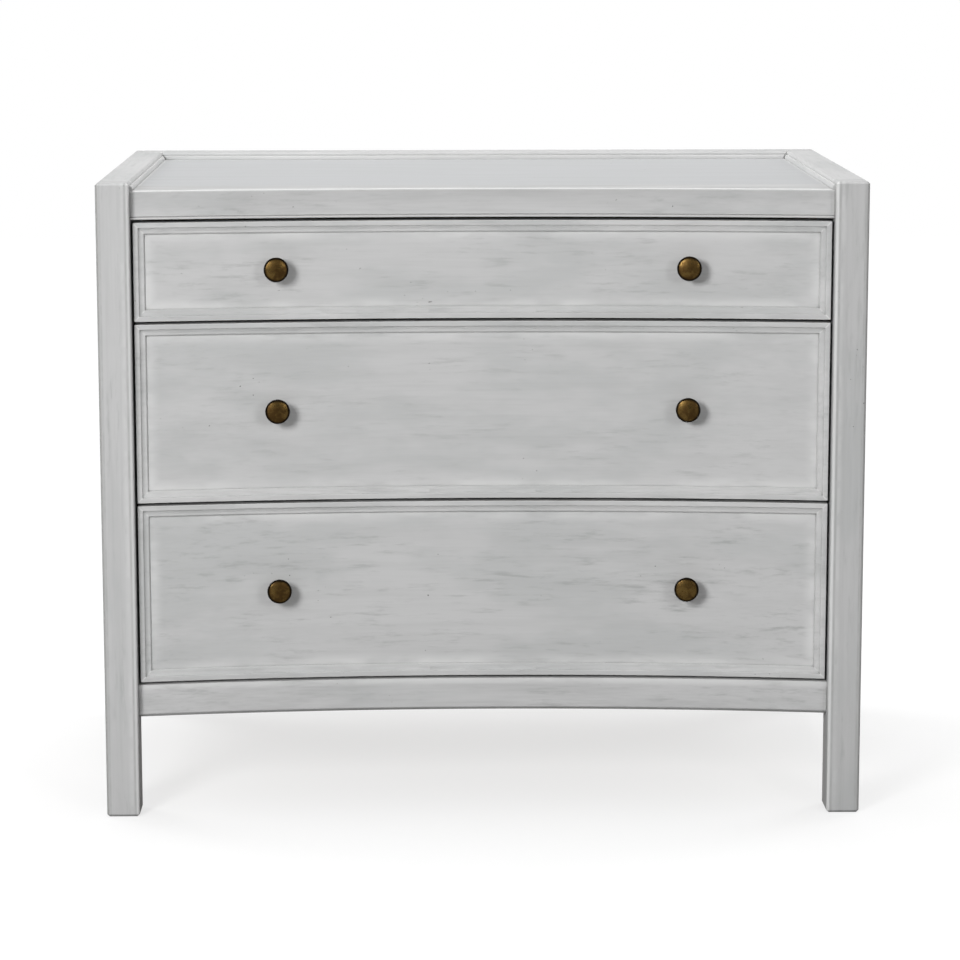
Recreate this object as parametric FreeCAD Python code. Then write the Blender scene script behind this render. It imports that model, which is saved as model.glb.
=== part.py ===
import FreeCAD, Part
import math
import os

# A low chest with three drawers between four square posts. The front is hollow: between the
# posts it curves in towards the middle. Millimetres, X to the right, Y to the back, Z up.
# The origin lies on the floor under the middle of the chest.

# Chest as a whole
overall_width = 762.0
overall_depth = 483.0
overall_height = 640.0

# Posts
post_width = 33.0
post_depth = 38.0
post_arris = 3.0
top_bevel = 2.0
foot_bevel = 2.5

# Hollow front: how far its ends stand behind the posts' faces, and its depth at the middle
face_setback = 12.0
face_hollow = 26.0

# Top
top_recess = 8.0
top_panel_thickness = 12.0
top_tongue_thickness = 6.0
top_tongue_length = 6.0
top_front_rail_height = 29.0
top_front_rail_depth = 34.0
top_rail_height = 50.0
rail_ease = 1.2
bead_height = 2.2
bead_ease = 0.7
quirk_width = 1.0
quirk_depth = 1.1
trim_height = 4.5
trim_width = 3.0
trim_seat = 2.0
trim_joint = 0.2
trim_corner_gap = 1.2

# Lower rails
bottom_front_rail_height = 33.0
bottom_front_rail_thickness = 22.0
bottom_front_rail_arris = 3.0
bottom_rail_height = 49.5
bottom_rail_thickness = 22.0
bottom_back_tenon_setback = 4.0

# Joinery of the carcass
tenon_length = 15.0
tenon_thickness = 10.0
tenon_shoulder = 7.0
tenon_setback = 6.0
side_tenon_setback = 5.0
tenon_root = 1.0

# Side, back and bottom panels
side_panel_thickness = 8.0
side_panel_recess = 8.0
back_panel_thickness = 6.0
back_panel_recess = 1.0
bottom_panel_thickness = 6.0
bottom_panel_rise = 11.5
panel_groove = 6.0
back_rebate = 8.0

# Drawer fronts, from the top drawer down
drawer_names = ["drawer_top", "drawer_middle", "drawer_bottom"]
drawer_heights = [98.0, 179.5, 180.0]
drawer_gap = 3.0
drawer_side_gap = 2.5
front_thickness = 17.0

# Applied moulding: flat border, small step, cove, fillet and steep bevel
moulding_height = 4.5
moulding_border = 5.0
moulding_step = 0.3
moulding_step_depth = 0.8
moulding_cove = 3.6
moulding_cove_sag = 0.4
moulding_fillet = 1.8
moulding_fillet_height = 2.1
moulding_bevel = 1.4
moulding_edge = 0.3

# Drawer boxes
box_side_thickness = 14.0
box_back_thickness = 12.0
box_under_gap = 7.0
box_over_gap = 14.0
box_rear_clearance = 22.0
box_bottom_thickness = 6.0
box_bottom_rise = 8.0
box_groove = 6.0
dovetail_length = 12.0
dovetail_pitch = 38.0
dovetail_neck_share = 0.67
dovetail_slope = 8.0

# Runners
runner_height = 19.0
runner_reach = 9.0
runner_top_clearance = 0.2
runner_under_clearance = 0.5
runner_side_clearance = 1.0
runner_front_inset = 23.5
runner_batten_height = 42.0
runner_tenon_length = 6.0
runner_tenon_thickness = 9.0
runner_tenon_height = 24.0
runner_stop_clearance = 0.3

# Knobs
knob_spacing = 412.0
knob_above_middle = 2.0
knob_radius = 12.4
knob_base_radius = 7.5
knob_neck_radius = 4.6
knob_waist_out = 8.0
knob_rim_start = 15.7
knob_rim_end = 20.3
knob_rim_bevel = 1.0
knob_length = 21.7

# Glue blocks
glue_block_size = 18.0
glue_block_length = 55.0
glue_block_spacing = 120.0

# How far a cutting shape runs on past the wood that it cuts
cut_spare = 1.0
curve_spare = 20.0

# Planes and curve worked out from the sizes above
half_width = overall_width / 2
front_plane = -overall_depth / 2
back_plane = overall_depth / 2
inner = half_width - post_width
front_post_back = front_plane + post_depth
back_post_front = back_plane - post_depth
panel_top = overall_height - top_recess
top_front_rail_low = panel_top - top_front_rail_height
top_rail_low = overall_height - top_rail_height
panel_front = front_post_back + top_front_rail_depth
face_radius = (inner ** 2 + face_hollow ** 2) / (2 * face_hollow)
face_centre = front_plane + face_setback + face_hollow - face_radius
side_panel_outer = half_width - side_panel_recess
side_panel_inner = side_panel_outer - side_panel_thickness
bottom_rail_inner = half_width - bottom_rail_thickness
cove_start = moulding_border + moulding_step
cove_end = cove_start + moulding_cove
moulding_width = cove_end + moulding_fillet + moulding_bevel
front_half = inner - drawer_side_gap
front_behind = moulding_height + front_thickness
back_panel_front = back_plane - back_panel_recess - back_panel_thickness


def drawer_levels():
    """Lowest and highest level of each drawer front, from the top drawer down."""
    levels = []
    high = top_front_rail_low - drawer_gap
    for height in drawer_heights:
        levels.append((high - height, high))
        high = high - height - drawer_gap
    return levels


drawer_edges = drawer_levels()
bottom_front_rail_high = drawer_edges[-1][0] - drawer_gap
bottom_rail_low = bottom_front_rail_high - bottom_front_rail_height
bottom_rail_high = bottom_rail_low + bottom_rail_height
bottom_panel_low = bottom_rail_low + bottom_panel_rise


def vector(x, y, z):
    return FreeCAD.Vector(x, y, z)


def block(x0, x1, y0, y1, z0, z1):
    """Box between two corners, given in any order."""
    low = vector(min(x0, x1), min(y0, y1), min(z0, z1))
    return Part.makeBox(abs(x1 - x0), abs(y1 - y0), abs(z1 - z0), low)


def polygon_face(points):
    return Part.Face(Part.makePolygon(points + [points[0]]))


def face_y(x, behind=0.0):
    """Y of the hollow front at x, or of the like curve that lies behind it."""
    return face_centre + math.sqrt((face_radius + behind) ** 2 - x ** 2)


def behind_face(behind, low, high):
    """Everything in front of the curve that lies behind the face by this much."""
    return Part.makeCylinder(face_radius + behind, high - low, vector(0, face_centre, low))


def turn_to(shape, x, behind=0.0):
    """Turn a shape made at x = 0 round the face's centre until it stands at x."""
    angle = math.degrees(math.asin(x / (face_radius + behind)))
    shape.rotate(vector(0, face_centre, 0), vector(0, 0, 1), -angle)
    return shape


def curved_length(section, half):
    """Carry a section in the plane x = 0 along the hollow face, out to x = -half and half."""
    angle = math.degrees(math.asin((half + curve_spare) / face_radius))
    section.rotate(vector(0, face_centre, 0), vector(0, 0, 1), -angle)
    solid = section.revolve(vector(0, face_centre, 0), vector(0, 0, 1), 2 * angle)
    bounds = solid.BoundBox
    return solid.common(block(-half, half, bounds.YMin, bounds.YMax, bounds.ZMin, bounds.ZMax))


def section_point(behind, z):
    return vector(0, face_centre + face_radius + behind, z)


def edges_where(shape, test):
    """Straight edges whose two ends both pass the test."""
    chosen = []
    for edge in shape.Edges:
        if all(test(vertex.Point) for vertex in edge.Vertexes):
            chosen.append(edge)
    return chosen


def near(a, b):
    return abs(a - b) < 0.001


def mirror_x(shape):
    return shape.mirror(vector(0, 0, 0), vector(1, 0, 0))


# Carcass


def free_edges(post, front):
    """Edges of a right-hand post that no top rail meets."""
    joint_y = front_post_back if front else back_post_front
    met = edges_where(post, lambda p: near(p.y, joint_y))
    if not front:
        met += edges_where(post, lambda p: near(p.x, inner))
    return [edge for edge in post.Edges if not any(edge.isSame(other) for other in met)]


def post_blank(front):
    """Right-hand post with its arrises rounded and bevelled, before any joint is cut."""
    y0 = front_plane if front else back_post_front
    y1 = front_post_back if front else back_plane
    post = block(inner, half_width, y0, y1, 0, overall_height)
    upright = [edge for edge in free_edges(post, front) if near(edge.Length, overall_height)]
    post = post.makeFillet(post_arris, upright)
    top = [edge for edge in free_edges(post, front) if near(edge.BoundBox.ZMin, overall_height)]
    post = post.makeChamfer(top_bevel, top)
    feet = [edge for edge in post.Edges if near(edge.BoundBox.ZMax, 0)]
    return post.makeChamfer(foot_bevel, feet)


def top_side_rail_blank():
    rail = block(inner, half_width, front_post_back, back_post_front, top_rail_low, overall_height)
    long_edges = edges_where(rail, lambda p: near(p.z, overall_height))
    return rail.makeChamfer(top_bevel, [edge for edge in long_edges if edge.Length > top_rail_height])


def side_tenons(low, high):
    """Tenons at both ends of a side rail."""
    x1 = half_width - side_tenon_setback
    x0 = x1 - tenon_thickness
    z0 = low + tenon_shoulder
    z1 = high - tenon_shoulder
    front = block(x0, x1, front_post_back - tenon_length, front_post_back + tenon_root, z0, z1)
    back = block(x0, x1, back_post_front - tenon_root, back_post_front + tenon_length, z0, z1)
    return [front, back]


def cross_tenons(y0, low, high):
    """Tenons at both ends of a front or back rail."""
    z0 = low + tenon_shoulder
    z1 = high - tenon_shoulder
    right = block(inner - tenon_root, inner + tenon_length, y0, y0 + tenon_thickness, z0, z1)
    return [right, mirror_x(right)]


def top_side_rail():
    return top_side_rail_blank().fuse(side_tenons(top_rail_low + panel_groove, overall_height))


def bottom_side_rail():
    rail = block(bottom_rail_inner, half_width, front_post_back, back_post_front,
                 bottom_rail_low, bottom_rail_high)
    return rail.fuse(side_tenons(bottom_rail_low, bottom_rail_high - panel_groove))


def side_panel():
    return block(side_panel_inner, side_panel_outer,
                 front_post_back - panel_groove, back_post_front + panel_groove,
                 bottom_rail_high - panel_groove, top_rail_low + panel_groove)


def top_back_rail():
    """Rail between the back posts, whose top face closes the border behind the top."""
    rail = block(-inner, inner, back_post_front, back_plane, top_rail_low, overall_height)
    upper = edges_where(rail, lambda p: near(p.z, overall_height))
    rail = rail.makeChamfer(top_bevel, [edge for edge in upper if edge.Length > inner])
    return rail.fuse(cross_tenons(back_post_front + tenon_setback, top_rail_low, overall_height))


def bottom_back_rail():
    rail = block(-inner, inner, back_plane - bottom_rail_thickness, back_plane,
                 bottom_rail_low, bottom_rail_high)
    tenon_y = back_plane - bottom_rail_thickness + bottom_back_tenon_setback
    return rail.fuse(cross_tenons(tenon_y, bottom_rail_low, bottom_rail_high - back_rebate))


def top_front_rail():
    """Hollow rail with eased arrises and a fine bead, set off by a quirk, along its lower edge."""
    low = top_front_rail_low
    bead_top = low + bead_height
    quirk_top = bead_top + quirk_width
    deep = face_hollow + top_front_rail_depth + post_depth
    section = polygon_face([
        section_point(rail_ease, panel_top),
        section_point(deep, panel_top),
        section_point(deep, low),
        section_point(bead_ease, low),
        section_point(0, low + bead_ease),
        section_point(0, bead_top - bead_ease),
        section_point(bead_ease, bead_top),
        section_point(quirk_depth, bead_top),
        section_point(quirk_depth, quirk_top),
        section_point(0, quirk_top),
        section_point(0, panel_top - rail_ease)])
    rail = curved_length(section, inner)
    behind = block(-half_width, half_width, panel_front, back_plane, low - cut_spare, overall_height)
    tenon_y = face_y(inner) + tenon_setback
    return rail.cut(behind).fuse(cross_tenons(tenon_y, low, panel_top))


def bottom_front_rail():
    """Hollow rail under the bottom drawer, with a bevelled lower arris."""
    low = bottom_rail_low
    high = bottom_front_rail_high
    section = polygon_face([
        section_point(0, high),
        section_point(bottom_front_rail_thickness, high),
        section_point(bottom_front_rail_thickness, low),
        section_point(bottom_front_rail_arris, low),
        section_point(0, low + bottom_front_rail_arris)])
    rail = curved_length(section, inner)
    tenon_y = face_y(inner) + tenon_setback
    return rail.fuse(cross_tenons(tenon_y, low, high))


def top_panel():
    """Flat board, level with the front rail, with tongues into the rails round it."""
    board = block(-inner, inner, panel_front, back_post_front, panel_top - top_panel_thickness, panel_top)
    low = panel_top - (top_panel_thickness + top_tongue_thickness) / 2
    high = low + top_tongue_thickness
    across = block(-inner - top_tongue_length, inner + top_tongue_length,
                   panel_front, back_post_front, low, high)
    along = block(-inner, inner, panel_front - top_tongue_length,
                  back_post_front + top_tongue_length, low, high)
    return board.fuse([across, along])


def trim_section(corner, across):
    """Quarter round above the panel, with a square root below that lies in a rebate."""
    up = vector(0, 0, 1)
    root = corner - up * trim_seat
    side = corner + across * trim_width
    top = corner + up * trim_height
    bulge = corner + (across * trim_width + up * trim_height) * math.sqrt(0.5)
    edges = [
        Part.makeLine(root, root + across * trim_width),
        Part.makeLine(root + across * trim_width, side),
        Part.Arc(side, bulge, top).toShape(),
        Part.makeLine(top, root),
    ]
    return Part.Face(Part.Wire(edges))


def side_trim():
    """Trim along the right-hand border, mitred to the back trim."""
    start = face_y(inner) + rail_ease
    section = trim_section(vector(inner, start, panel_top), vector(-1, 0, 0))
    strip = section.extrude(vector(0, back_post_front - start, 0))
    reach = trim_width + trim_corner_gap
    low = panel_top - trim_seat
    mitre = polygon_face([
        vector(inner, back_post_front - trim_corner_gap, low),
        vector(inner, back_post_front + cut_spare, low),
        vector(inner - reach, back_post_front + cut_spare, low),
        vector(inner - reach, back_post_front - trim_corner_gap - reach, low)])
    return strip.cut(mitre.extrude(vector(0, 0, trim_seat + trim_height)))


def back_trim():
    """Trim along the back border, mitred at both ends."""
    section = trim_section(vector(-inner, back_post_front, panel_top), vector(0, -1, 0))
    strip = section.extrude(vector(2 * inner, 0, 0))
    reach = trim_width + trim_corner_gap
    low = panel_top - trim_seat
    mitre = polygon_face([
        vector(inner - trim_corner_gap, back_post_front, low),
        vector(inner + cut_spare, back_post_front, low),
        vector(inner + cut_spare, back_post_front - reach, low),
        vector(inner - trim_corner_gap - reach, back_post_front - reach, low)])
    cutter = mitre.extrude(vector(0, 0, trim_seat + trim_height))
    return strip.cut([cutter, mirror_x(cutter)])


def trim_rebate():
    """Shallow rebate round three sides of the top, in which the trims lie."""
    low = panel_top - trim_seat
    start = face_y(inner) + rail_ease
    width = trim_width + trim_joint
    side = block(inner - width, inner, start, back_post_front, low, overall_height)
    back = block(-inner, inner, back_post_front - width, back_post_front, low, overall_height)
    return [side, mirror_x(side), back]


def back_panel():
    """Thin board in a rebate round the back."""
    return block(-inner - back_rebate, inner + back_rebate,
                 back_panel_front, back_panel_front + back_panel_thickness,
                 bottom_rail_high - back_rebate, top_rail_low + back_rebate)


def back_rebate_space():
    return block(-inner - back_rebate, inner + back_rebate, back_panel_front, back_plane + cut_spare,
                 bottom_rail_high - back_rebate, top_rail_low + back_rebate)


def bottom_panel():
    """Thin board in grooves of the lower rails, notched round the posts."""
    low = bottom_panel_low
    high = low + bottom_panel_thickness
    reach = bottom_rail_inner + panel_groove
    rear = back_plane - bottom_rail_thickness + panel_groove
    board = block(-reach, reach, front_plane, rear, low, high)
    notches = [behind_face(bottom_front_rail_thickness - panel_groove, low, high)]
    for y0, y1 in ((front_plane, front_post_back), (back_post_front, back_plane)):
        corner = block(inner, half_width, y0, y1, low, high)
        notches += [corner, mirror_x(corner)]
    return board.cut(notches)


def glue_blocks():
    """Three-cornered blocks under the top, against the side rails."""
    blocks = []
    high = panel_top - top_panel_thickness
    for step in (-1, 0, 1):
        y = step * glue_block_spacing - glue_block_length / 2
        face = polygon_face([
            vector(inner, y, high),
            vector(inner - glue_block_size, y, high),
            vector(inner, y, high - glue_block_size)])
        solid = face.extrude(vector(0, glue_block_length, 0))
        blocks += [solid, mirror_x(solid)]
    return blocks


# Runners and drawers


def box_levels(drawer):
    """Lowest and highest level of a drawer's sides."""
    low, high = drawer_edges[drawer]
    return low + box_under_gap, high - box_over_gap


def runner_level(drawer):
    low, high = box_levels(drawer)
    return (low + high) / 2


def runner(drawer):
    """Right-hand batten between the posts, with the tongue on which the drawer side hangs."""
    level = runner_level(drawer)
    batten = block(inner, side_panel_inner, front_post_back, back_post_front,
                   level - runner_batten_height / 2, level + runner_batten_height / 2)
    tongue = block(inner - runner_reach, inner + tenon_root, front_post_back + runner_front_inset,
                   back_post_front, level - runner_height / 2, level + runner_height / 2)
    middle = (inner + side_panel_inner) / 2
    tenon = block(middle - runner_tenon_thickness / 2, middle + runner_tenon_thickness / 2,
                  front_post_back - runner_tenon_length, back_post_front + runner_tenon_length,
                  level - runner_tenon_height / 2, level + runner_tenon_height / 2)
    return batten.fuse([tongue, tenon])


def runner_groove(drawer):
    """Space in the right-hand drawer side that the runner's tongue passes along."""
    level = runner_level(drawer)
    return block(inner - runner_reach - runner_side_clearance, inner + cut_spare,
                 front_post_back + runner_front_inset - runner_stop_clearance, back_plane,
                 level - runner_height / 2 - runner_under_clearance,
                 level + runner_height / 2 + runner_top_clearance)


def box_back():
    """Y of the rear face of the drawer boxes."""
    return back_panel_front - box_rear_clearance


def dovetails(low, high, y_root, y_tip):
    """Tails on the end of a right-hand drawer side, wider at the tip than at the root."""
    count = max(2, round((high - low) / dovetail_pitch))
    pitch = (high - low) / count
    neck = pitch * dovetail_neck_share / 2
    flare = abs(y_tip - y_root) / dovetail_slope
    root_extra = math.copysign(tenon_root, y_root - y_tip)
    tails = []
    for index in range(count):
        middle = low + pitch * (index + 0.5)
        face = polygon_face([
            vector(front_half, y_root + root_extra, middle - neck),
            vector(front_half, y_root, middle - neck),
            vector(front_half, y_tip, middle - neck - flare),
            vector(front_half, y_tip, middle + neck + flare),
            vector(front_half, y_root, middle + neck),
            vector(front_half, y_root + root_extra, middle + neck)])
        tails.append(face.extrude(vector(-box_side_thickness, 0, 0)))
    return tails


def drawer_bottom(drawer):
    """Thin board in grooves of the front and sides, passing under the back."""
    low = box_levels(drawer)[0] + box_bottom_rise
    high = low + box_bottom_thickness
    reach = front_half - box_side_thickness + box_groove
    board = block(-reach, reach, front_plane, box_back(), low, high)
    return board.cut(behind_face(front_behind - box_groove, low, high))


def drawer_side(drawer):
    """Right-hand side with its dovetails and runner groove."""
    low, high = box_levels(drawer)
    inside = front_half - box_side_thickness
    y_front = face_y(inside, front_behind)
    y_rear = box_back() - box_back_thickness
    board = block(inside, front_half, front_plane, y_rear, low, high)
    board = board.cut(behind_face(front_behind, low, high))
    tails = dovetails(low, high, y_front, y_front - dovetail_length)
    tails += dovetails(low, high, y_rear, box_back())
    side = board.fuse(tails)
    return side.cut([runner_groove(drawer), drawer_bottom(drawer)])


def drawer_back(drawer, sides):
    low, high = box_levels(drawer)
    low = low + box_bottom_rise + box_bottom_thickness
    board = block(-front_half, front_half, box_back() - box_back_thickness, box_back(), low, high)
    groove = runner_groove(drawer)
    return board.cut(sides + [groove, mirror_x(groove)])


def front_panel(drawer, sides, bottom):
    """Curved board of a drawer front, with sockets for the sides and a groove for the bottom."""
    low, high = drawer_edges[drawer]
    section = polygon_face([
        section_point(moulding_height, low),
        section_point(front_behind, low),
        section_point(front_behind, high),
        section_point(moulding_height, high)])
    board = curved_length(section, front_half)
    return board.cut(sides + [bottom])


def cove(place, start, end):
    """Shallow hollow arc between two corners of a section, each given as (inward, proud)."""
    across = end[0] - start[0]
    drop = end[1] - start[1]
    length = math.hypot(across, drop)
    middle = place((start[0] + end[0]) / 2 + moulding_cove_sag * drop / length,
                   (start[1] + end[1]) / 2 - moulding_cove_sag * across / length)
    return Part.Arc(place(*start), middle, place(*end)).toShape()


def moulding_profile(place):
    """Section of the applied moulding; place(inward, proud) gives each corner's position."""
    outline = [
        (0, 0),
        (0, moulding_height),
        (moulding_border, moulding_height),
        (cove_start, moulding_height - moulding_step_depth),
        (cove_end, moulding_fillet_height),
        (cove_end + moulding_fillet, moulding_fillet_height),
        (moulding_width, moulding_edge),
        (moulding_width, 0),
    ]
    edges = []
    for start, end in zip(outline, outline[1:] + outline[:1]):
        if start[0] == cove_start:
            edges.append(cove(place, start, end))
        else:
            edges.append(Part.makeLine(place(*start), place(*end)))
    return Part.Face(Part.Wire(edges))


def mitre_wedge(level, up, inward_first):
    """Wedge that cuts a mitre at the right-hand end, where a corner lies at this level."""
    size = 2 * moulding_width
    across = vector(-size, 0, 0)
    along = vector(0, 0, up * size)
    corner = vector(0, face_centre + face_radius - cut_spare, level)
    other = corner + (across if inward_first else along)
    face = polygon_face([corner, other, corner + across + along])
    wedge = face.extrude(vector(0, moulding_height + 2 * cut_spare, 0))
    return turn_to(wedge, front_half)


def drawer_moulding(drawer):
    """Four strips of moulding, mitred together and seated on the drawer front."""
    low, high = drawer_edges[drawer]
    strips = []
    for level, up in ((low, 1), (high, -1)):
        def lying(inward, proud, level=level, up=up):
            return section_point(moulding_height - proud, level + up * inward)
        strip = curved_length(moulding_profile(lying), front_half)
        cutter = mitre_wedge(level, up, False)
        strips.append(strip.cut([cutter, mirror_x(cutter)]))

    def standing(inward, proud):
        return vector(-inward, face_centre + face_radius + moulding_height - proud, low)
    section = turn_to(moulding_profile(standing), front_half)
    upright = section.extrude(vector(0, 0, high - low))
    upright = upright.common(behind_face(moulding_height, low, high))
    cutters = [mitre_wedge(low, 1, True), mitre_wedge(high, -1, True)]
    spare = block(front_half, half_width, front_plane, back_plane, low, high)
    upright = upright.cut(cutters + [spare])
    return strips + [upright, mirror_x(upright)]


def knob_level(drawer):
    low, high = drawer_edges[drawer]
    return (low + high) / 2 + knob_above_middle


def knob(drawer):
    """Right-hand turned brass knob: waisted neck and a round, slightly domed head."""
    level = knob_level(drawer)
    seat = knob_base_radius ** 2 / (2 * face_radius)

    def place(radius, out):
        return section_point(moulding_height - seat - out, level) + vector(radius, 0, 0)
    rim_radius = knob_radius - knob_rim_bevel
    dome_height = knob_length - knob_rim_end
    dome_radius = (rim_radius ** 2 + dome_height ** 2) / (2 * dome_height)
    dome_middle = knob_length - dome_radius + math.sqrt(dome_radius ** 2 - (rim_radius / 2) ** 2)
    corners = [
        place(0, knob_length),
        place(0, 0),
        place(knob_base_radius, 0),
        place(knob_neck_radius, knob_waist_out),
        place(knob_radius, knob_rim_start),
        place(knob_radius, knob_rim_end - knob_rim_bevel),
        place(rim_radius, knob_rim_end),
    ]
    edges = [Part.makeLine(start, end) for start, end in zip(corners, corners[1:])]
    edges.append(Part.Arc(corners[-1], place(rim_radius / 2, dome_middle), corners[0]).toShape())
    solid = Part.Face(Part.Wire(edges)).revolve(place(0, 0), vector(0, 1, 0), 360)
    return turn_to(solid, knob_spacing / 2)


def export(name, shape):
    shape = Part.makeCompound(shape) if isinstance(shape, list) else shape.removeSplitter()
    for solid in shape.Solids:
        if not solid.isValid():
            print("invalid solid in", name)
    shape.exportStep("parts/" + name + ".step")
    print(name, len(shape.Solids), round(shape.Volume / 1000, 2))


def export_pair(name, right):
    export(name + "_right", right)
    export(name + "_left", mirror_x(right))


def build_carcass():
    side = side_panel()
    upper_rail = top_side_rail()
    lower_rail = bottom_side_rail()
    back_rail = top_back_rail()
    low_back_rail = bottom_back_rail()
    front_rail = top_front_rail()
    low_front_rail = bottom_front_rail()
    top = top_panel()
    floor = bottom_panel()
    rebate = back_rebate_space()
    runners = [runner(drawer) for drawer in range(len(drawer_names))]
    front_joints = [side, upper_rail, lower_rail, front_rail, low_front_rail] + runners
    back_joints = [side, upper_rail, lower_rail, back_rail, low_back_rail, rebate] + runners
    export_pair("post_front", post_blank(True).cut(front_joints))
    export_pair("post_back", post_blank(False).cut(back_joints))
    export_pair("side_top_rail", upper_rail.cut([side, top]))
    export_pair("side_bottom_rail", lower_rail.cut([side, floor]))
    export_pair("side_panel", side)
    export("top_back_rail", back_rail.cut([top, rebate]))
    export("bottom_back_rail", low_back_rail.cut([floor, rebate]))
    export("top_front_rail", front_rail.cut([top] + trim_rebate()))
    export("bottom_front_rail", low_front_rail.cut(floor))
    export("top_panel", top.cut(trim_rebate()))
    export_pair("top_trim", side_trim())
    export("top_trim_back", back_trim())
    export("back_panel", back_panel())
    export("bottom_panel", floor)
    export("glue_blocks", glue_blocks())
    for name, solid in zip(drawer_names, runners):
        export_pair(name.replace("drawer", "runner"), solid)


def build_drawer(drawer):
    name = drawer_names[drawer]
    bottom = drawer_bottom(drawer)
    side = drawer_side(drawer)
    sides = [side, mirror_x(side)]
    pull = knob(drawer)
    export(name + "_front", front_panel(drawer, sides, bottom))
    export(name + "_moulding", drawer_moulding(drawer))
    export_pair(name + "_side", side)
    export(name + "_back", drawer_back(drawer, sides))
    export(name + "_base", bottom)
    export(name + "_knobs", [pull, mirror_x(pull)])


os.makedirs("parts", exist_ok=True)
build_carcass()
for index in range(len(drawer_names)):
    build_drawer(index)
print("leg clearance", round(bottom_rail_low, 2), "face radius", round(face_radius, 1))
print("runner hold at rest", round(box_back() - front_post_back - runner_front_inset, 1))
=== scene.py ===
import math

import bmesh
import bpy
from mathutils import Matrix, Vector


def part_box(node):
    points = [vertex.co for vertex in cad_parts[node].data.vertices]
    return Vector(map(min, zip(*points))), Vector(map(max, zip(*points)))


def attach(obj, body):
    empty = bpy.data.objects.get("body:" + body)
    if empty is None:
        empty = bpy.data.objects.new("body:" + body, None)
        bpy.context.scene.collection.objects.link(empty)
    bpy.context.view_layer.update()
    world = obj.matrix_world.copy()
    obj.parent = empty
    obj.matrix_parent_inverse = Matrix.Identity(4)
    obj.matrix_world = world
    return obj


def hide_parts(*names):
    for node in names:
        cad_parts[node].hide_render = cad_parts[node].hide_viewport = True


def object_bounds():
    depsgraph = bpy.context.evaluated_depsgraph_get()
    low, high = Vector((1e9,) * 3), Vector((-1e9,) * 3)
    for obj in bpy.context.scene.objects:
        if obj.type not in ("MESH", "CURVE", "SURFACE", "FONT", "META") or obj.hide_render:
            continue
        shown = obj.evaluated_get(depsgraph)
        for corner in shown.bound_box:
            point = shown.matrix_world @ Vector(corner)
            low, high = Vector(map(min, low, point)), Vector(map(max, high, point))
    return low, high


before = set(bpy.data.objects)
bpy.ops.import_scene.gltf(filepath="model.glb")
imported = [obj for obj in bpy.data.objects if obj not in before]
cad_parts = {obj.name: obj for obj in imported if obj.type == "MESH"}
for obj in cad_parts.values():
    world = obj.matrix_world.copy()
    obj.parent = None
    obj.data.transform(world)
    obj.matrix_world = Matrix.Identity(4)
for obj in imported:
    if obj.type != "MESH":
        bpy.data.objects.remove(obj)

cad_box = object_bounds()

# Corner posts: square hardwood legs that run from the floor to the top, with rounded arrises.
# They are brushed along the grain with a grey-white wash, which leaves faint streaks, dry
# dashes and a few specks, dries lighter on the arrises and settles grey in the corners, and
# there is a painted highlight on the arrises and painted shade in the corners as well.
wash_colour = (0.530, 0.530, 0.530, 1)
streak_colour = (0.385, 0.387, 0.385, 1)
cool_colour = (0.438, 0.448, 0.446, 1)
dash_colour = (0.345, 0.350, 0.347, 1)
built_up_and_highlight_colour = (0.680, 0.680, 0.675, 1)
wear_and_highlight_colour = (0.700, 0.700, 0.695, 1)
edge_shade_colour = (0.330, 0.330, 0.325, 1)
settled_and_shade_colour = (0.150, 0.155, 0.150, 1)
speck_colour = (0.060, 0.060, 0.055, 1)
arris_width = 0.0014
corner_width = 0.0035
wash_specular = 0.3
smooth_wash = 0.62
rough_wash = 0.74
grain_turns = {"x": (0, 0, 0), "y": (0, 0, math.radians(90)), "z": (0, math.radians(90), 0)}


def add_node(tree, kind, inputs=None, **settings):
    """A node of this kind, its settings made and its inputs set or linked."""
    made = tree.nodes.new(kind)
    for name, value in settings.items():
        setattr(made, name, value)
    for name, value in (inputs or {}).items():
        if isinstance(value, bpy.types.NodeSocket):
            tree.links.new(value, made.inputs[name])
        else:
            made.inputs[name].default_value = value
    return made


def mix_colour(tree, share, first, second):
    """Colour that goes from the first to the second as share goes from 0 to 1."""
    mixed = add_node(tree, "ShaderNodeMix", {0: share, 6: first, 7: second}, data_type="RGBA")
    return mixed.outputs[2]


def remap(tree, value, low, high, new_low=0.0, new_high=1.0):
    """Value carried from one range to another, smoothly and held at its ends."""
    inputs = {"Value": value, "From Min": low, "From Max": high, "To Min": new_low, "To Max": new_high}
    return add_node(tree, "ShaderNodeMapRange", inputs, interpolation_type="SMOOTHSTEP").outputs[0]


def calculate(tree, operation, first, second):
    """Result of one operation on two values, held between 0 and 1."""
    made = add_node(tree, "ShaderNodeMath", {0: first, 1: second}, operation=operation, use_clamp=True)
    return made.outputs[0]


def vector_result(tree, operation, first, second=None, output="Vector"):
    """Result of one operation on one or two vectors."""
    inputs = {0: first} if second is None else {0: first, 1: second}
    return add_node(tree, "ShaderNodeVectorMath", inputs, operation=operation).outputs[output]


def object_place(tree):
    """Place of the point in metres, in the frame that all pieces share."""
    return add_node(tree, "ShaderNodeTexCoord").outputs["Object"]


def band(tree, value, start, full, fade, end):
    """Mask that rises from start to full and falls again from fade to end."""
    return calculate(tree, "MULTIPLY", remap(tree, value, start, full), remap(tree, value, end, fade))


def new_group(name, inputs, outputs):
    """Empty shader group with named sockets, each given as (name, kind, value)."""
    tree = bpy.data.node_groups.new(name, "ShaderNodeTree")
    for socket, kind, value in inputs:
        made = tree.interface.new_socket(socket, in_out="INPUT", socket_type="NodeSocket" + kind)
        if value is not None:
            made.default_value = value
    for socket, kind in outputs:
        tree.interface.new_socket(socket, in_out="OUTPUT", socket_type="NodeSocket" + kind)
    return tree, tree.nodes.new("NodeGroupInput"), tree.nodes.new("NodeGroupOutput")


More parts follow.
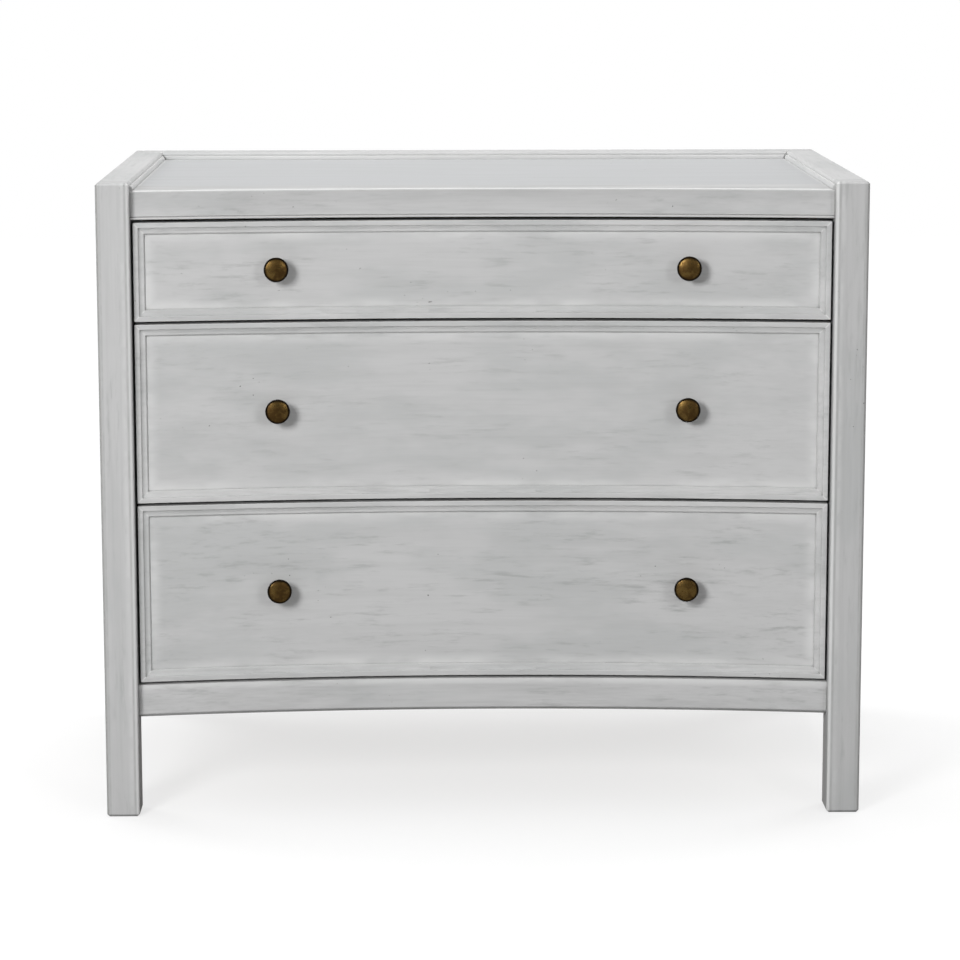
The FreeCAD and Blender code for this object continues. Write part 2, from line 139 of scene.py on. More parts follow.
def stretched_noise(tree, vector, along, across, detail, roughness=0.55):
    """Noise drawn out along X; along and across are features in each metre."""
    mapped = add_node(tree, "ShaderNodeMapping", {"Vector": vector, "Scale": (along, across, across)})
    inputs = {"Vector": mapped.outputs[0], "Scale": 1.0, "Detail": detail, "Roughness": roughness}
    return add_node(tree, "ShaderNodeTexNoise", inputs).outputs[0]


def make_brushed_wash():
    """Marks of a brush drawn along X, and the height of the film that it leaves."""
    tree, given, out = new_group(
        "Brushed wash",
        [("Vector", "Vector", None)],
        [("Streaks", "Float"), ("Cool", "Float"), ("Dashes", "Float"), ("Specks", "Float"),
         ("Height", "Float")])
    vector = given.outputs["Vector"]
    fine = stretched_noise(tree, vector, 12, 420, 3)
    broad = stretched_noise(tree, vector, 4, 75, 4)
    cool = stretched_noise(tree, vector, 5, 14, 4, 0.6)
    dry = stretched_noise(tree, vector, 22, 200, 5, 0.66)
    cluster = stretched_noise(tree, vector, 8, 26, 4, 0.65)
    dots = stretched_noise(tree, vector, 330, 330, 1)
    rare = stretched_noise(tree, vector, 19, 19, 2)
    fine_share = calculate(tree, "MULTIPLY", remap(tree, fine, 0.40, 0.72), 0.4)
    broad_share = calculate(tree, "MULTIPLY", remap(tree, broad, 0.42, 0.68), 0.6)
    dashes = calculate(tree, "MULTIPLY", remap(tree, dry, 0.48, 0.72), remap(tree, cluster, 0.42, 0.58))
    specks = calculate(tree, "MULTIPLY", remap(tree, dots, 0.76, 0.80), remap(tree, rare, 0.59, 0.64))
    marks = {
        "Streaks": calculate(tree, "ADD", fine_share, broad_share),
        "Cool": remap(tree, cool, 0.46, 0.62),
        "Dashes": dashes,
        "Specks": specks,
        "Height": fine}
    for name, value in marks.items():
        tree.links.new(value, out.inputs[name])
    return tree


def make_arrises_and_corners():
    """Where the film lies over an arris, wearing thin under a painted highlight, is thicker near a corner,
    and gathers deep in one under painted shade.
    """
    tree, given, out = new_group(
        "Arrises and corners",
        [("Corner Width", "Float", corner_width)],
        [("Arris", "Float"), ("Built Up", "Float"), ("Settled And Shade", "Float"), ("Normal", "Vector")])
    soft = add_node(tree, "ShaderNodeBevel", {"Radius": arris_width}, samples=4)
    inside = add_node(tree, "ShaderNodeAmbientOcclusion", {"Distance": arris_width},
                      inside=True, samples=8, only_local=True)
    corner = add_node(tree, "ShaderNodeAmbientOcclusion", {"Distance": given.outputs["Corner Width"]},
                      samples=6)
    tree.links.new(remap(tree, inside.outputs["AO"], 0.90, 0.55), out.inputs["Arris"])
    tree.links.new(remap(tree, corner.outputs["AO"], 1.0, 0.85), out.inputs["Built Up"])
    tree.links.new(remap(tree, corner.outputs["AO"], 0.88, 0.58), out.inputs["Settled And Shade"])
    tree.links.new(soft.outputs[0], out.inputs["Normal"])
    return tree


brushed_wash = make_brushed_wash()
arrises_and_corners = make_arrises_and_corners()


def new_board(name, grain, place):
    """Material of a board, its nodes, and a vector whose X runs along the grain."""
    material = bpy.data.materials.new(name)
    material.use_nodes = True
    tree = material.node_tree
    turned = add_node(tree, "ShaderNodeMapping", {
        "Vector": object_place(tree), "Rotation": grain_turns[grain], "Location": place})
    return material, tree, turned.outputs[0]


def washed_wood(name, grain, place=(0, 0, 0), base=wash_colour, streaking=0.40, dashes=0.45,
                cool=0.55, arris=0.50, corner=corner_width, built_up=0.45, settled_and_shade=0.65):
    """Grey-white washed wood with its grain along one axis; place picks another board."""
    material, tree, vector = new_board(name, grain, place)
    wash = add_node(tree, "ShaderNodeGroup", node_tree=brushed_wash)
    tree.links.new(vector, wash.inputs["Vector"])
    edges = add_node(tree, "ShaderNodeGroup", node_tree=arrises_and_corners)
    edges.inputs["Corner Width"].default_value = corner
    colour = base
    # The arris mark is a painted highlight as well as wear, and the deep corner mark is painted shade as
    # well as gathered glaze.
    for share, weight, other in (
            (wash.outputs["Cool"], cool, cool_colour),
            (wash.outputs["Streaks"], streaking, streak_colour),
            (wash.outputs["Dashes"], dashes, dash_colour),
            (edges.outputs["Built Up"], built_up, built_up_and_highlight_colour),
            (edges.outputs["Arris"], arris, wear_and_highlight_colour),
            (edges.outputs["Settled And Shade"], settled_and_shade, settled_and_shade_colour),
            (wash.outputs["Specks"], 0.90, speck_colour)):
        colour = mix_colour(tree, calculate(tree, "MULTIPLY", share, weight), colour, other)
    bump = add_node(tree, "ShaderNodeBump", {
        "Height": wash.outputs["Height"], "Normal": edges.outputs["Normal"],
        "Strength": 0.10, "Distance": 0.0005})
    roughness = remap(tree, wash.outputs["Streaks"], 0, 1, smooth_wash, rough_wash)
    surface = tree.nodes["Principled BSDF"]
    surface.inputs["Specular IOR Level"].default_value = wash_specular
    tree.links.new(colour, surface.inputs["Base Color"])
    tree.links.new(roughness, surface.inputs["Roughness"])
    tree.links.new(bump.outputs[0], surface.inputs["Normal"])
    return material


def dress(material, *names):
    """Give these pieces of the frame this finish."""
    for name in names:
        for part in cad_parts[name].material_slots:
            part.material = material


def film_of(material):
    """The material's nodes, its base colour socket and the colour that now feeds it."""
    tree = material.node_tree
    surface = tree.nodes["Principled BSDF"].inputs["Base Color"]
    return tree, surface, surface.links[0].from_socket


def depth_inside(tree, distance, low, high):
    """How far this distance lies inside the box from low to high, on each axis."""
    offset = vector_result(tree, "SUBTRACT", distance, (low + high) / 2)
    across = vector_result(tree, "ABSOLUTE", offset)
    inward = vector_result(tree, "SUBTRACT", (high - low) / 2, across)
    return add_node(tree, "ShaderNodeSeparateXYZ", {0: inward})


post_colour = (0.500, 0.500, 0.500, 1)
post_low, post_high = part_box("post_front_right")
grey_line = (0.0026, 0.0036, 0.0042, 0.0056)
light_strip = (0.0045, 0.0060, 0.0070, 0.0110)
strip_width = 0.010
arris_fade = 0.0040
arris_full = 0.0020
arris_side = 0.0015


def light_and_shade_arrises(material):
    """Painted shade as a grey line beside every upright arris, a painted highlight on the inner arrises and
    in a strip beside them, and painted shade on the outer arrises.

    The line and the strip are given as the distances from the arris where they start, are
    full, begin to fade and end."""
    tree, surface, washed = film_of(material)
    place = object_place(tree)
    spread = vector_result(tree, "ABSOLUTE", place)
    near = Vector((post_low.x, -post_high.y, 0))
    far = Vector((post_high.x, -post_low.y, 0))
    middle = (near.x + far.x) / 2
    width = add_node(tree, "ShaderNodeSeparateXYZ", {0: spread}).outputs["X"]
    sides = depth_inside(tree, spread, near, far)
    reach = calculate(tree, "MAXIMUM", sides.outputs["X"], sides.outputs["Y"])
    uneven = remap(tree, stretched_noise(tree, place, 60, 60, 3), 0.40, 0.60, 0.5, 1.0)
    strip = calculate(tree, "MULTIPLY", band(tree, reach, *light_strip), uneven)
    strip = calculate(tree, "MULTIPLY", strip, remap(tree, width, middle, near.x + strip_width, 0.0, 0.3))
    line = calculate(tree, "MULTIPLY", band(tree, reach, *grey_line), uneven)
    arris = remap(tree, reach, arris_fade, arris_full)
    inner = remap(tree, width, near.x + arris_fade, near.x + arris_side)
    outer = remap(tree, width, far.x - arris_fade, far.x - arris_side)
    inner = calculate(tree, "MULTIPLY", arris, inner)
    outer = calculate(tree, "MULTIPLY", arris, outer)
    colour = washed
    # The strip and the inner arrises are painted highlight; the grey line and the outer arrises are painted
    # shade.
    for share, weight, other in (
            (strip, 1.00, built_up_and_highlight_colour),
            (line, 0.50, edge_shade_colour),
            (inner, 0.80, wear_and_highlight_colour),
            (outer, 0.80, edge_shade_colour)):
        colour = mix_colour(tree, calculate(tree, "MULTIPLY", share, weight), colour, other)
    tree.links.new(colour, surface)
    return material


post = washed_wood("washed_post", "z", base=post_colour, streaking=0.42, dashes=0.55, cool=0.55,
                   arris=0.7, corner=0.0020, settled_and_shade=0.3)
dress(light_and_shade_arrises(post), "post_front_right", "post_front_left", "post_back_right", "post_back_left")

# Sides and back: each is a frame of a top rail and a bottom rail between the posts. The sides
# hold a thin panel in grooves and the back has one in a rebate, and these panels are washed
# outside only and left bare inside.
dress(washed_wood("washed_side_rail", "y", (0.3, 0, 0), streaking=0.25, settled_and_shade=0.30),
      "side_top_rail_right", "side_top_rail_left", "side_bottom_rail_right", "side_bottom_rail_left")
pale_grain_colour = (0.56, 0.40, 0.25, 1)
dark_grain_colour = (0.40, 0.26, 0.15, 1)
ring_width = 0.06


def make_growth_rings():
    """Growth rings cut along the board, and the fine pores between them."""
    tree, given, out = new_group(
        "Growth rings", [("Vector", "Vector", None)], [("Rings", "Float"), ("Pores", "Float")])
    wander = stretched_noise(tree, given.outputs["Vector"], 2, 18, 3)
    rings = remap(tree, calculate(tree, "PINGPONG", wander, ring_width), 0.0, ring_width)
    pores = remap(tree, stretched_noise(tree, given.outputs["Vector"], 40, 900, 2), 0.52, 0.72)
    tree.links.new(rings, out.inputs["Rings"])
    tree.links.new(pores, out.inputs["Pores"])
    return tree


growth_rings = make_growth_rings()


def grain_colour(tree, vector, pale, dark):
    """Colour of bare wood with its growth rings and pores, and the group that made them."""
    figure = add_node(tree, "ShaderNodeGroup", node_tree=growth_rings)
    tree.links.new(vector, figure.inputs["Vector"])
    colour = pale
    for mark, weight in (("Rings", 0.6), ("Pores", 0.35)):
        colour = mix_colour(tree, calculate(tree, "MULTIPLY", figure.outputs[mark], weight), colour, dark)
    return colour, figure


def leave_bare(material, side):
    """Leave the faces that look this way in bare wood, and return the material."""
    tree, surface, washed = film_of(material)
    vector = tree.nodes["Mapping"].outputs[0]
    bare, _ = grain_colour(tree, vector, pale_grain_colour, dark_grain_colour)
    normal = add_node(tree, "ShaderNodeNewGeometry").outputs["Normal"]
    facing = vector_result(tree, "DOT_PRODUCT", normal, side, "Value")
    tree.links.new(mix_colour(tree, remap(tree, facing, 0.5, 0.6), washed, bare), surface)
    return material


right_panel = washed_wood("washed_right_panel", "z", (0, 0.7, 0))
dress(leave_bare(right_panel, (-1, 0, 0)), "side_panel_right")
left_panel = washed_wood("washed_left_panel", "z", (0, 0.2, 0))
dress(leave_bare(left_panel, (1, 0, 0)), "side_panel_left")
dress(washed_wood("washed_back_rail", "x", (0.5, 0.9, 0.4)), "top_back_rail", "bottom_back_rail")
back_panel = washed_wood("washed_back_panel", "x", (0.6, 0.2, 0.9), cool=0.35)
dress(leave_bare(back_panel, (0, -1, 0)), "back_panel")

# Top: a flat board a little below the borders, tongued into the rails round it. A fine
# quarter-round trim lies in a rebate along the two sides and the back.
panel_colour = (0.455, 0.461, 0.468, 1)
dress(washed_wood("washed_top", "x", (0.2, 0.4, 0.1), base=panel_colour, streaking=0.10, dashes=0.10,
                  cool=0.25, settled_and_shade=0.12), "top_panel")
dress(washed_wood("washed_back_trim", "x", (0.5, 0.9, 0.4), built_up=0.2, settled_and_shade=0.12),
      "top_trim_back")
dress(washed_wood("washed_side_trim", "y", (0.1, 0.6, 0), streaking=0.2, built_up=0.2, settled_and_shade=0.05),
      "top_trim_right", "top_trim_left")

# Front rails: two hollow rails between the front posts, above and below the drawers. The upper
# one has painted shade along its upper half and a painted highlight on its front arris. The
# lower one has a painted highlight along the top and painted shade along the bottom.
front_arris_width = 0.0020


def tint_height(material, start, end, tint, share):
    """Tint the film between these heights, fully at the end, and return the material."""
    tree, surface, washed = film_of(material)
    place = object_place(tree)
    height = add_node(tree, "ShaderNodeSeparateXYZ", {0: place}).outputs["Z"]
    patches = remap(tree, stretched_noise(tree, place, 9, 30, 4, 0.6), 0.36, 0.60, 0.35, 1.0)
    amount = calculate(tree, "MULTIPLY", remap(tree, height, start, end), patches)
    amount = calculate(tree, "MULTIPLY", amount, share)
    tree.links.new(mix_colour(tree, amount, washed, tint), surface)
    return material


def lighten_arris(material, facing, share):
    """Paint a highlight on the arris that faces this way, between its two faces, and return the material.
    """
    tree, surface, washed = film_of(material)
    soft = add_node(tree, "ShaderNodeBevel", {"Radius": front_arris_width}, samples=4)
    turned = vector_result(tree, "DOT_PRODUCT", soft.outputs[0], facing.normalized(), "Value")
    amount = calculate(tree, "MULTIPLY", remap(tree, turned, 0.76, 0.92), share)
    tree.links.new(mix_colour(tree, amount, washed, wear_and_highlight_colour), surface)
    return material


rail_low, rail_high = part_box("top_front_rail")
rail_middle = (rail_low.z + rail_high.z) / 2
rail = washed_wood("washed_top_rail", "x", (0.9, 0.3, 0.2), streaking=0.5, dashes=0.7, arris=0.7)
# Painted shade in soft patches along the upper half, and a painted highlight on the front arris.
rail = tint_height(rail, rail_middle - 0.008, rail_middle + 0.010, streak_colour, 0.45)
dress(lighten_arris(rail, Vector((0, -1, 1)), 0.75), "top_front_rail")
rail_low, rail_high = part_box("bottom_front_rail")
rail = washed_wood("washed_bottom_rail", "x", (1.9, 0.8, 0.2), streaking=0.6, dashes=0.7, arris=0.2,
                   corner=0.003, settled_and_shade=0.9)
# Painted highlight along the top and painted shade along the bottom.
rail = tint_height(rail, rail_high.z - 0.008, rail_high.z - 0.002, wear_and_highlight_colour, 0.65)
rail = tint_height(rail, rail_low.z + 0.0045, rail_low.z + 0.0015, edge_shade_colour, 0.80)
dress(rail, "bottom_front_rail")

# Drawer fronts: curved boards with applied mouldings, mitred at the corners and glued on
# round the edge. Each front is brushed on its own, so its marks don't run on to the next,
# and its rear face is bare.
front_places = {
    "drawer_top": (0.37, 0.11, 0.05),
    "drawer_middle": (1.41, 0.52, 0.83),
    "drawer_bottom": (2.63, 0.97, 1.71)}
front_dashes = {"drawer_top": 0.60, "drawer_middle": 0.45, "drawer_bottom": 0.78}
moulding_colour = (0.570, 0.570, 0.568, 1)
margin_start = 0.0125
margin_end = 0.0250


def lighten_margin(material, low, high):
    """Lay a thicker, lighter film along the moulding round a field, and return the material."""
    tree, surface, washed = film_of(material)
    place = object_place(tree)
    sides = depth_inside(tree, place, low, high)
    nearest = calculate(tree, "MINIMUM", sides.outputs["X"], sides.outputs["Z"])
    uneven = remap(tree, stretched_noise(tree, place, 14, 40, 3), 0.35, 0.65, 0.15, 0.60)
    share = calculate(tree, "MULTIPLY", remap(tree, nearest, margin_end, margin_start), uneven)
    tree.links.new(mix_colour(tree, share, washed, built_up_and_highlight_colour), surface)
    return material


# The fronts, and the mouldings most of all, carry painted shade in their hollows besides gathered glaze;
# the mouldings also carry a painted highlight on their arrises.
for drawer, place in front_places.items():
    front = washed_wood("washed_" + drawer, "x", place, streaking=0.28, dashes=front_dashes[drawer],
                        built_up=0.0, settled_and_shade=0.6)
    low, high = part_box(drawer + "_front")
    dress(leave_bare(lighten_margin(front, low, high), (0, 1, 0)), drawer + "_front")
    moulding = washed_wood("washed_" + drawer + "_moulding", "x", place, base=moulding_colour,
                           arris=0.75, corner=0.0042, built_up=0.15, settled_and_shade=0.95)
    dress(moulding, drawer + "_moulding")

# Drawer boxes and runners: planed hardwood with a clear lacquer, dovetailed at the corners,
# with thin plywood bases. The runners are waxed battens tenoned into the posts.


def planed_wood(name, grain, pale, dark, place=(0, 0, 0)):
    """Planed wood under a clear finish, a little dusty in the corners, with painted shade there too."""
    material, tree, vector = new_board(name, grain, place)
    colour, figure = grain_colour(tree, vector, pale, dark)
    edges = add_node(tree, "ShaderNodeGroup", node_tree=arrises_and_corners)
    # Painted shade in the corners, together with dust.
    dust_and_shade = calculate(tree, "MULTIPLY", edges.outputs["Settled And Shade"], 0.4)
    colour = mix_colour(tree, dust_and_shade, colour, settled_and_shade_colour)
    bump = add_node(tree, "ShaderNodeBump", {
        "Height": figure.outputs["Pores"], "Normal": edges.outputs["Normal"],
        "Strength": 0.15, "Distance": 0.0004})
    surface = tree.nodes["Principled BSDF"]
    tree.links.new(colour, surface.inputs["Base Color"])
    tree.links.new(remap(tree, figure.outputs["Rings"], 0, 1, 0.38, 0.52), surface.inputs["Roughness"])
    tree.links.new(bump.outputs[0], surface.inputs["Normal"])
    return material


box_side_wood = planed_wood("planed_box_side", "y", pale_grain_colour, dark_grain_colour)
box_back_wood = planed_wood("planed_box_back", "x", pale_grain_colour, dark_grain_colour, (0.4, 0.2, 0.6))
plywood = planed_wood(
    "plywood_face", "x", (0.60, 0.46, 0.31, 1), (0.47, 0.33, 0.20, 1), (0.8, 0.1, 0.3))
runner_wood = planed_wood(
    "waxed_runner", "y", (0.46, 0.31, 0.18, 1), (0.33, 0.20, 0.11, 1), (0.2, 0.8, 0))
for drawer in front_places:
    dress(box_side_wood, drawer + "_side_right", drawer + "_side_left")
    dress(box_back_wood, drawer + "_back")
    dress(plywood, drawer + "_base")
for level in ("top", "middle", "bottom"):
    dress(runner_wood, "runner_" + level + "_right", "runner_" + level + "_left")
dress(runner_wood, "glue_blocks")
dress(plywood, "bottom_panel")

# Knobs: small turned brass knobs with a waisted neck, a thick rim and a low dome, each held
# by a screw through the drawer front. The brass is darkened with age, and a painted dark
# reflection lies round the rim.
face_hollow = 0.026
face_setback = 0.012
front_thickness = 0.017
moulding_height = 0.0045
knob_spacing = 0.412
seat_radius = 0.0078
seat_height = 0.0014
neck_radius = 0.0047
neck_start = 0.0045
neck_end = 0.0105
flare_radius = 0.0085
flare_end = 0.0152
head_radius = 0.0124
head_start = 0.0160
dome_start = 0.0204
dome_height = 0.0013
dome_inset = 0.0009
dome_steps = 8
rim_round = 0.0022
knob_segments = 64
face_half = post_low.x
face_radius = (face_half ** 2 + face_hollow ** 2) / (2 * face_hollow)
face_centre = post_low.y + face_setback + face_hollow - face_radius


def rounded(points, turn, steps=5):
    """Profile with each corner between its ends turned into a curve that starts this far off."""
    smooth = [Vector(points[0])]
    for before, corner, after in zip(points, points[1:], points[2:]):
        before, corner, after = Vector(before), Vector(corner), Vector(after)
        start = corner + (before - corner).normalized() * min(turn, (before - corner).length / 2)
        end = corner + (after - corner).normalized() * min(turn, (after - corner).length / 2)
        for step in range(steps + 1):
            t = step / steps
            smooth.append(start * (1 - t) ** 2 + corner * 2 * t * (1 - t) + end * t ** 2)
    return smooth + [Vector(points[-1])]


def knob_profile():
    """Radius and distance out from the drawer front, from the seat to the middle of the dome."""
    corners = [(0, 0), (seat_radius, 0), (seat_radius, seat_height), (neck_radius, neck_start),
               (neck_radius, neck_end), (flare_radius, flare_end), (head_radius, head_start),
               (head_radius, dome_start)]
    profile = rounded(corners, rim_round)[:-1]
    dome_radius = head_radius - dome_inset
    for step in range(dome_steps + 1):
        share = 1 - step / dome_steps
        profile.append(Vector((dome_radius * share, dome_start + dome_height * (1 - share ** 2))))
    return profile


washer_radius = 0.0050
washer_height = 0.0006
pan_radius = 0.0040
pan_top_radius = 0.0036
pan_edge_height = 0.0024
pan_height = 0.0027
pan_round = 0.0008


def screw_profile():
    """Screw head on its washer, from its edge on the wood to its middle."""
    corners = [(0, 0), (washer_radius, 0), (washer_radius, washer_height), (pan_radius, washer_height),
               (pan_top_radius, pan_edge_height), (0, pan_height)]
    return rounded(corners, pan_round)


def turn_profile(mesh, profile, place):
    """Add a profile to the mesh, turned about the axis that place carries from Z."""
    layers = mesh.verts.layers.float
    share = layers.get("rim_share") or layers.new("rim_share")
    rings = []
    for radius, out in profile:
        count = 1 if radius < 1e-6 else knob_segments
        ring = []
        for step in range(count):
            angle = 2 * math.pi * step / count
            point = Vector((radius * math.cos(angle), radius * math.sin(angle), out))
            vertex = mesh.verts.new(place @ point)
            vertex[share] = radius / head_radius
            ring.append(vertex)
        rings.append(ring)
    for first, second in zip(rings, rings[1:]):
        for step in range(knob_segments):
            corners = [first[step % len(first)], second[step % len(second)],
                       second[(step + 1) % len(second)], first[(step + 1) % len(first)]]
            mesh.faces.new(list(dict.fromkeys(corners)))


def turned_pair(name, profile, level, behind, lean):
    """Two turned pieces side by side on the curved front, this far behind the moulding's face."""
    angle = math.asin(knob_spacing / 2 / face_radius)
    centre = Matrix.Translation((0, face_centre, 0))
    seat = Matrix.Translation((0, face_radius + behind, level)) @ Matrix.Rotation(lean, 4, "X")
    mesh = bmesh.new()
    for side in (-1, 1):
        turn_profile(mesh, profile, centre @ Matrix.Rotation(-side * angle, 4, "Z") @ seat)
    bmesh.ops.recalc_face_normals(mesh, faces=mesh.faces)
    data = bpy.data.meshes.new(name)
    mesh.to_mesh(data)
    mesh.free()
    data.shade_smooth()
    pair = bpy.data.objects.new(name, data)
    bpy.context.scene.collection.objects.link(pair)
    return pair


def aged_metal(name, bright, dark, rim, low_roughness, high_roughness):
    """Metal mottled from bright to dark, with its own colour round the rim, which on the brass is a painted
    dark reflection.
    """
    material = bpy.data.materials.new(name)
    material.use_nodes = True
    tree = material.node_tree
    place = object_place(tree)
    cloud = add_node(tree, "ShaderNodeTexNoise", {
        "Vector": place, "Scale": 120.0, "Detail": 5.0, "Roughness": 0.65}).outputs[0]
    fine = add_node(tree, "ShaderNodeTexNoise", {
        "Vector": place, "Scale": 900.0, "Detail": 2.0}).outputs[0]
    share = add_node(tree, "ShaderNodeAttribute", attribute_name="rim_share").outputs["Fac"]
    colour = mix_colour(tree, remap(tree, cloud, 0.38, 0.62), bright, dark)
    # Painted dark reflection round the rim of the head.
    colour = mix_colour(tree, remap(tree, share, 0.72, 0.92), colour, rim)
    bump = add_node(tree, "ShaderNodeBump", {"Height": fine, "Strength": 0.12, "Distance": 0.0002})
    surface = tree.nodes["Principled BSDF"]
    surface.inputs["Metallic"].default_value = 1.0
    roughness = remap(tree, cloud, 0.3, 0.7, low_roughness, high_roughness)
    tree.links.new(colour, surface.inputs["Base Color"])
    tree.links.new(roughness, surface.inputs["Roughness"])
    tree.links.new(bump.outputs[0], surface.inputs["Normal"])
    return material


bright_brass = (0.205, 0.128, 0.040, 1)
dark_brass = (0.085, 0.047, 0.015, 1)
rim_reflection_colour = (0.014, 0.009, 0.005, 1)
brass = aged_metal("aged_brass", bright_brass, dark_brass, rim_reflection_colour, 0.22, 0.38)
bright_steel = (0.60, 0.60, 0.58, 1)
dull_steel = (0.48, 0.48, 0.46, 1)
steel = aged_metal("plated_steel", bright_steel, dull_steel, dull_steel, 0.30, 0.42)
for drawer in front_places:
    low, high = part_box(drawer + "_knobs")
    level = (low.z + high.z) / 2
    knobs = turned_pair(drawer + "_turned_knobs", knob_profile(), level, moulding_height, math.radians(90))
    knobs.data.materials.append(brass)
    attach(knobs, drawer)
    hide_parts(drawer + "_knobs")
    behind = moulding_height + front_thickness
    screws = turned_pair(drawer + "_knob_screws", screw_profile(), level, behind, math.radians(-90))
    screws.data.materials.append(steel)
    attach(screws, drawer)

# Back panel pins: flat-headed pins driven through the back board into its rebate, at even
# spacing along the four edges.
pin_spacing = 0.085
pin_inset = 0.004
pin_radius = 0.0022
pin_top_radius = 0.0016
pin_height = 0.0006
pin_segments = 20


def make_pin_row():
    """Row of pin heads between two points, made by nodes."""
    tree = bpy.data.node_groups.new("Pin row", "GeometryNodeTree")
    sockets = {"Start": "Vector", "End": "Vector", "Count": "Int", "Radius": "Float", "Top Radius": "Float",
               "Height": "Float"}
    for name, kind in sockets.items():
        tree.interface.new_socket(name, in_out="INPUT", socket_type="NodeSocket" + kind)
    tree.interface.new_socket("Geometry", in_out="OUTPUT", socket_type="NodeSocketGeometry")
    given = tree.nodes.new("NodeGroupInput")
    line = add_node(tree, "GeometryNodeMeshLine", {
        "Count": given.outputs["Count"],
        "Start Location": given.outputs["Start"],
        "Offset": given.outputs["End"]}, mode="END_POINTS")
    head = add_node(tree, "GeometryNodeMeshCone", {
        "Vertices": pin_segments,
        "Radius Top": given.outputs["Top Radius"],
        "Radius Bottom": given.outputs["Radius"],
        "Depth": given.outputs["Height"]})
    pins = add_node(tree, "GeometryNodeInstanceOnPoints", {
        "Points": line.outputs["Mesh"],
        "Instance": head.outputs["Mesh"],
        "Rotation": (math.radians(-90), 0, 0)})
    solid = add_node(tree, "GeometryNodeRealizeInstances", {"Geometry": pins.outputs[0]})
    dressed = add_node(tree, "GeometryNodeSetMaterial", {"Geometry": solid.outputs[0], "Material": steel})
    out = tree.nodes.new("NodeGroupOutput")
    tree.links.new(dressed.outputs[0], out.inputs[0])
    return tree


def row_mesh(tree, values):
    """Plain mesh that the node tree gives with these inputs."""
    maker = bpy.data.objects.new("row_maker", bpy.data.meshes.new("row_maker"))
    bpy.context.scene.collection.objects.link(maker)
    modifier = maker.modifiers.new("row", "NODES")
    modifier.node_group = tree
    for item in tree.interface.items_tree:
        if item.in_out == "INPUT":
            modifier[item.identifier] = values[item.name]
    seen = maker.evaluated_get(bpy.context.evaluated_depsgraph_get())
    mesh = bpy.data.meshes.new_from_object(seen)
    bpy.data.objects.remove(maker)
    return mesh


def back_pins():
    """All the pins of the back panel as one piece."""
    low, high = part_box("back_panel")
    left = low.x + pin_inset
    right = high.x - pin_inset
    bottom = low.z + pin_inset
    top = high.z - pin_inset
    corners = [Vector((left, high.y, bottom)), Vector((right, high.y, bottom)),
               Vector((right, high.y, top)), Vector((left, high.y, top))]
    tree = make_pin_row()
    joined = bmesh.new()
    for start, end in zip(corners, corners[1:] + corners[:1]):
        count = max(2, round((end - start).length / pin_spacing))
        step = (end - start) / count
        joined.from_mesh(row_mesh(tree, {
            "Start": start, "End": end - step, "Count": count, "Radius": pin_radius,
            "Top Radius": pin_top_radius, "Height": pin_height}))
    data = bpy.data.meshes.new("back_panel_pins")
    joined.to_mesh(data)
    joined.free()
    data.materials.append(steel)
    pins = bpy.data.objects.new("back_panel_pins", data)
    bpy.context.scene.collection.objects.link(pins)
    return pins


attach(back_pins(), "carcass")

# Floor: a plain matte sheet that the camera sees nearly white, whitest far from the chest,
# and that keeps the chest's soft shadow. It throws only a little light back up.
floor_level = cad_box[0].z
floor_half = 6.0
floor_colour = (0.3, 0.3, 0.3, 1)
seen_floor_colour = (0.9, 0.9, 0.9, 1)
floor_glow = 1.05
glow_near = 0.66
glow_start = 0.8
glow_full = 2.4


def make_floor():
    """Square floor round the origin, with its material."""
    data = bpy.data.meshes.new("floor")
    signs = ((-1, -1), (1, -1), (1, 1), (-1, 1))
    corners = [(x * floor_half, y * floor_half, floor_level) for x, y in signs]
    data.from_pydata(corners, [], [(0, 1, 2, 3)])
    floor = bpy.data.objects.new("floor", data)
    bpy.context.scene.collection.objects.link(floor)
    material = bpy.data.materials.new("white_floor")
    material.use_nodes = True
    tree = material.node_tree
    seen = add_node(tree, "ShaderNodeLightPath").outputs["Is Camera Ray"]
    surface = tree.nodes["Principled BSDF"]
    tree.links.new(mix_colour(tree, seen, floor_colour, seen_floor_colour), surface.inputs["Base Color"])
    surface.inputs["Roughness"].default_value = 0.9
    surface.inputs["Specular IOR Level"].default_value = 0.0
    glow = add_node(tree, "ShaderNodeEmission", {"Color": (1, 1, 1, 1), "Strength": floor_glow})
    away = vector_result(tree, "LENGTH", object_place(tree), output="Value")
    share = calculate(tree, "MULTIPLY", seen, remap(tree, away, glow_start, glow_full, glow_near, 1.0))
    mix = add_node(tree, "ShaderNodeMixShader", {0: share, 1: surface.outputs[0], 2: glow.outputs[0]})
    tree.links.new(mix.outputs[0], tree.nodes["Material Output"].inputs["Surface"])
    data.materials.append(material)
    return floor


make_floor()

# Lamps: soft round lamps in front on both sides, the left one the strongest, one above, and
# two behind for the back, with an even sky that grows brighter towards the top.
lamp_target = Vector((0, 0, 0.35))


def add_lamp(name, place, size, power):
    """Round lamp of this size and power, turned to the middle of the chest."""
    data = bpy.data.lights.new(name, "AREA")
    data.shape = "DISK"
    data.size = size
    data.energy = power
    lamp = bpy.data.objects.new(name, data)
    lamp.location = place
    lamp.rotation_mode = "QUATERNION"
    lamp.rotation_quaternion = (lamp_target - Vector(place)).to_track_quat("-Z", "Y")
    bpy.context.scene.collection.objects.link(lamp)


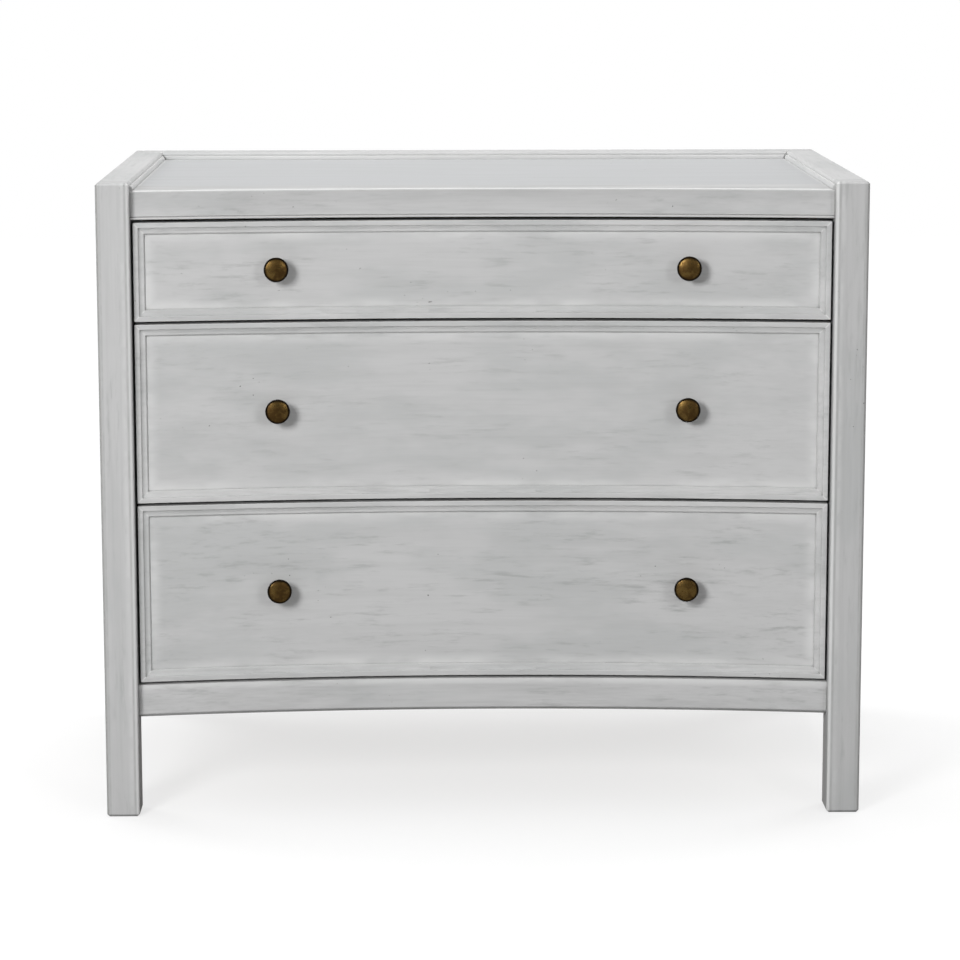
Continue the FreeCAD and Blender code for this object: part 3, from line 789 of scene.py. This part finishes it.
def light_world(level, above):
    """Even light all round that grows towards the zenith, behind a background seen as white."""
    world = bpy.data.worlds.new("soft_light")
    bpy.context.scene.world = world
    world.use_nodes = True
    tree = world.node_tree
    tree.nodes.clear()
    seen = add_node(tree, "ShaderNodeLightPath")
    direction = add_node(tree, "ShaderNodeTexCoord").outputs["Generated"]
    height = add_node(tree, "ShaderNodeSeparateXYZ", {0: direction}).outputs["Z"]
    strength = add_node(tree, "ShaderNodeMapRange", {
        "Value": height, "From Min": 0.0, "From Max": 0.9, "To Min": level, "To Max": above}).outputs[0]
    plain = add_node(tree, "ShaderNodeBackground", {"Color": (1, 1, 1, 1), "Strength": strength})
    white = add_node(tree, "ShaderNodeBackground", {"Color": (1, 1, 1, 1), "Strength": 1.0})
    share = calculate(tree, "ADD", seen.outputs["Is Camera Ray"], seen.outputs["Is Transmission Ray"])
    mix = add_node(tree, "ShaderNodeMixShader", {0: share, 1: plain.outputs[0], 2: white.outputs[0]})
    out = add_node(tree, "ShaderNodeOutputWorld")
    tree.links.new(mix.outputs[0], out.inputs["Surface"])


light_world(0.02, 0.55)
add_lamp("left_lamp", (-1.35, -2.8, 1.35), 0.9, 64)
add_lamp("right_lamp", (1.6, -3.0, 1.2), 0.9, 17)
add_lamp("top_lamp", (0.0, 0.5, 2.8), 1.6, 38)
add_lamp("rear_left_lamp", (-2.6, 1.8, 1.4), 1.6, 36)
add_lamp("rear_right_lamp", (2.6, 1.8, 1.4), 1.6, 36)

# Camera: a long lens almost straight in front of the chest, a little above its top. Its place,
# its three turns and its focal length in pixels were fitted to the edges seen in the photo.
camera_place = (-0.06580, -3.48353, 0.88853)
camera_yaw = 0.01921
camera_pitch = 0.16635
camera_roll = -0.00093
focal_pixels = 3300.3
image_pixels = 960
sensor = 36.0
camera_data = bpy.data.cameras.new("camera")
camera_data.sensor_width = sensor
camera_data.lens = focal_pixels / image_pixels * sensor
camera = bpy.data.objects.new("camera", camera_data)
bpy.context.scene.collection.objects.link(camera)
turn = Matrix.Rotation(-camera_yaw, 4, "Z") @ Matrix.Rotation(math.pi / 2 - camera_pitch, 4, "X")
camera.matrix_world = Matrix.Translation(camera_place) @ turn @ Matrix.Rotation(camera_roll, 4, "Z")
bpy.context.scene.camera = camera
bpy.context.scene.view_settings.view_transform = "Standard"
